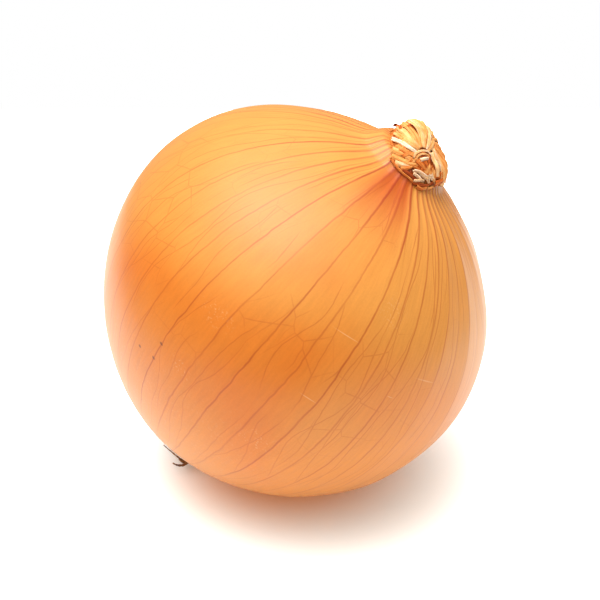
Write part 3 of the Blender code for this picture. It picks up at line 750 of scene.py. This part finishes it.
# Each longer root: its thickness, and the places that it runs through, in pixels across and down
# the picture and millimetres nearer than the bulb's centre.
SIDE_ROOTS = (
    (0.36, ((188.5, 444.0, -10.4), (188.0, 456.0, -10.5), (187.4, 461.5, -10.2), (184.2, 464.8, -9.9),
            (179.5, 465.4, -9.6), (176.0, 464.7, -9.8), (172.8, 463.0, -10.2))),
    (0.34, ((190.0, 448.0, -11.0), (188.5, 457.0, -10.8), (184.5, 462.2, -10.5), (181.0, 461.0, -10.6),
            (178.8, 458.6, -10.8))),
    (0.22, ((191.0, 452.0, -11.0), (188.6, 462.8, -11.2), (182.0, 459.9, -11.5), (175.8, 455.4, -12.0),
            (169.8, 450.4, -12.4), (163.4, 445.0, -12.8))),
)
plate_rim = outline_distance(hollow_angle) * math.cos(math.radians(hollow_angle))


def kept_clear(point):
    """A root's point, moved out of the skin and up off the table where it's too near to them."""
    radius = math.hypot(point[0], point[1])
    degrees = math.degrees(math.atan2(radius, point[2]))
    skin_there = skin_point(np.array(degrees), math.atan2(point[1], point[0]))
    reach = np.linalg.norm(skin_there)
    if radius > PLATE_RADIUS and np.linalg.norm(point) < reach + ROOT_SKIN_CLEAR:
        point = skin_there * (1 + ROOT_SKIN_CLEAR / reach)
    place = on_table(point) * 1000
    place[2] = max(place[2], ROOT_FLOOR)
    return (place - bulb_centre) @ lean_turn


def root_line(number, dice):
    """One root: out of the plate, outward by its place on it, and curling as it goes."""
    place = math.sqrt((number + 0.5) / ROOT_COUNT)
    turn = number * math.pi * (3 - math.sqrt(5))
    radius = PLATE_RADIUS * 0.93 * place
    foot = plate_rim - PLATE_CROWN * math.sqrt(max(0.0, 1 - (radius / PLATE_RADIUS) ** 2))
    point = np.array((radius * math.cos(turn), radius * math.sin(turn), foot))
    splay = math.radians(8 + 56 * place)
    outward = math.sin(splay)
    heading = np.array((outward * math.cos(turn), outward * math.sin(turn), -math.cos(splay)))
    curl = np.array((dice.uniform(-1, 1), dice.uniform(-1, 1), dice.uniform(-0.4, 0.9)))
    length = dice.uniform(2.5, 7.0) * (1 - 0.65 * smooth_step(0.6, -0.3, math.cos(turn)))
    step = length / ROOT_STEPS
    points = [point - heading * 0.6, point + heading * 0.2]
    for _ in range(ROOT_STEPS - 1):
        curl = curl + np.array([dice.uniform(-0.5, 0.5) for _ in range(3)])
        heading = heading + curl * 0.20
        heading = heading / np.linalg.norm(heading)
        points.append(kept_clear(points[-1] + heading * step))
    return points


dice = random.Random(3)
root_curve = bpy.data.curves.new("roots", "CURVE")
root_curve.dimensions = "3D"
root_curve.bevel_depth = 1.0
root_curve.bevel_resolution = 2
root_curve.use_fill_caps = True
root_lines = [
    (root_line(number, dice), ROOT_RADIUS * dice.uniform(0.6, 1.25)) for number in range(ROOT_COUNT)
]
root_lines += [([sight_place(*place) for place in path], thickness) for thickness, path in SIDE_ROOTS]
for points, thickness in root_lines:
    line = smooth_line(points, ROOT_KNOTS)
    spline = root_curve.splines.new("POLY")
    spline.points.add(len(line) - 1)
    for step, (knot, place) in enumerate(zip(spline.points, on_table(line))):
        knot.co = (*place, 1.0)
        lump = 1 + 0.16 * math.sin(step * 1.9 + thickness * 90)
        knot.radius = thickness * 0.001 * (1 - 0.62 * (step / (ROOT_KNOTS - 1)) ** 1.5) * lump
curve_object = bpy.data.objects.new("roots_curve", root_curve)
bpy.context.scene.collection.objects.link(curve_object)
bpy.context.view_layer.update()
shown_curve = curve_object.evaluated_get(bpy.context.evaluated_depsgraph_get())
roots_mesh = bpy.data.meshes.new_from_object(shown_curve)
bpy.data.objects.remove(curve_object, do_unlink=True)
roots_mesh.shade_smooth()
roots = bpy.data.objects.new("roots", roots_mesh)
bpy.context.scene.collection.objects.link(roots)

share, around = disc_grid(PLATE_RINGS, PLATE_COLUMNS)
lumps = 0.12 * np.sin(9 * around + 7 * share) * np.sin(23 * share) + 0.10 * np.sin(21 * around - 11 * share)
plate_up = plate_rim - PLATE_CROWN * np.sqrt(1 - share**2 * 0.999) + lumps * share
plate_up = plate_up + ROOT_HOLLOW_DEPTH * smooth_step(0.9, 1, share)
plate_points = np.stack((
    PLATE_RADIUS * share * np.cos(around), PLATE_RADIUS * share * np.sin(around), plate_up,
), -1).reshape(-1, 3)
plate_faces = [(a, d, c, b) for a, b, c, d in disc_faces(PLATE_RINGS, PLATE_COLUMNS)]
plate = add_mesh("root_plate", on_table(plate_points), plate_faces)

ROOT_PALE, ROOT_DARK = (0.27, 0.105, 0.016, 1), (0.095, 0.028, 0.004, 1)
root_finish, root_shader, start = new_material("dry_root")
spot = start.node("ShaderNodeTexCoord", output="Object")
patches = start.noise(spot, 260.0, 3.0)
rings_on_root = start.noise(spot, 1900.0, 2.0)
root_colour = start.blend(ROOT_DARK, ROOT_PALE, (patches + (rings_on_root - 0.5) * 0.5).step(0.35, 0.68))
root_height = rings_on_root * 0.12
root_bump = start.node("ShaderNodeBump", None, {"Height": root_height, "Strength": 0.8, "Distance": 0.001})
connect(root_shader, Base_Color=root_colour, Roughness=patches * 0.25 + 0.6, Normal=root_bump)
for piece in (roots, plate):
    piece.data.materials.clear()
    piece.data.materials.append(root_finish)
    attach(piece, "root")
    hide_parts("root_tuft")


# The table. A plain white sheet in a tent of soft light, brightest overhead, against plain white.
# The sheet glows faintly, for light from all round, and warmly by the onion, for light that comes
# through its flesh. The camera looks down from 30 degrees, as in the photograph.

FLOOR_HALF_WIDTH = 0.17
FLOOR_WHITE, FLOOR_SHEEN, FLOOR_GLOW = (0.90, 0.88, 0.84, 1), (0.12, 0.17, 0.16, 1), (0.21, 0.065, 0.004, 1)
GLOW_START, GLOW_END = 0.012, 0.032
SKY_HORIZON, SKY_DOME, SKY_LAMP = 0.38, 1.2, 9.8
DOME_START, LAMP_FALL = 0.10, 9.0
LAMP_WAY = (-0.17, 0.05, 0.984)

floor_corners = ((-1, -1), (1, -1), (1, 1), (-1, 1))
floor_points = [(side * FLOOR_HALF_WIDTH, end * FLOOR_HALF_WIDTH, 0) for side, end in floor_corners]
floor = add_mesh("floor", floor_points, [(0, 1, 2, 3)])
floor_finish, floor_shader, start = new_material("white_table")
floor_shader.inputs["Base Color"].default_value = FLOOR_WHITE
floor_place = start.node("ShaderNodeNewGeometry", output="Position")
from_onion = start.node("ShaderNodeVectorMath", {"operation": "LENGTH"}, {0: floor_place}, "Value")
glow = start.blend(FLOOR_GLOW, FLOOR_SHEEN, from_onion.step(GLOW_START, GLOW_END))
connect(floor_shader, Emission_Color=glow)
floor_shader.inputs["Emission Strength"].default_value = 1.0
floor_shader.inputs["Roughness"].default_value = 0.9
floor_shader.inputs["Specular IOR Level"].default_value = 0.1
floor.data.materials.append(floor_finish)
floor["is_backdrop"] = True

room = bpy.data.worlds.new("room")
room.use_nodes = True
bpy.context.scene.world = room
background = room.node_tree.nodes["Background"]
start = Socket(room.node_tree)
direction = start.node("ShaderNodeTexCoord", output="Generated")
height = start.node("ShaderNodeSeparateXYZ", None, {"Vector": direction}, "Z")
rise = ((height - DOME_START) * (1 / (1 - DOME_START))).math("MAXIMUM", 0.0)
both_ways = {0: direction, 1: LAMP_WAY}
to_lamp = start.node("ShaderNodeVectorMath", {"operation": "DOT_PRODUCT"}, both_ways, "Value")
lamp = to_lamp.math("MAXIMUM", 0.0).math("POWER", LAMP_FALL)
tent = rise.math("POWER", 2.0) * SKY_DOME + lamp * SKY_LAMP + SKY_HORIZON
behind_onion = start.node("ShaderNodeLightPath", output="Is Camera Ray")
tent = tent * (1 - behind_onion) + behind_onion
room.node_tree.links.new(tent.output, background.inputs["Strength"])
background.inputs["Color"].default_value = (1, 1, 1, 1)
bpy.context.scene.view_settings.view_transform = "Standard"

camera = bpy.data.cameras.new("camera")
camera.lens = LENS
camera.sensor_width = SENSOR
camera_object = bpy.data.objects.new("camera", camera)
camera_object.location = on_table(
    view_toward * VIEW_DISTANCE + view_right * VIEW_ASIDE + view_above * VIEW_UP
)
camera_object.rotation_euler = (math.pi / 2 - VIEW_RISE, 0, 0)
bpy.context.scene.collection.objects.link(camera_object)
bpy.context.scene.camera = camera_object

low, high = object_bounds()
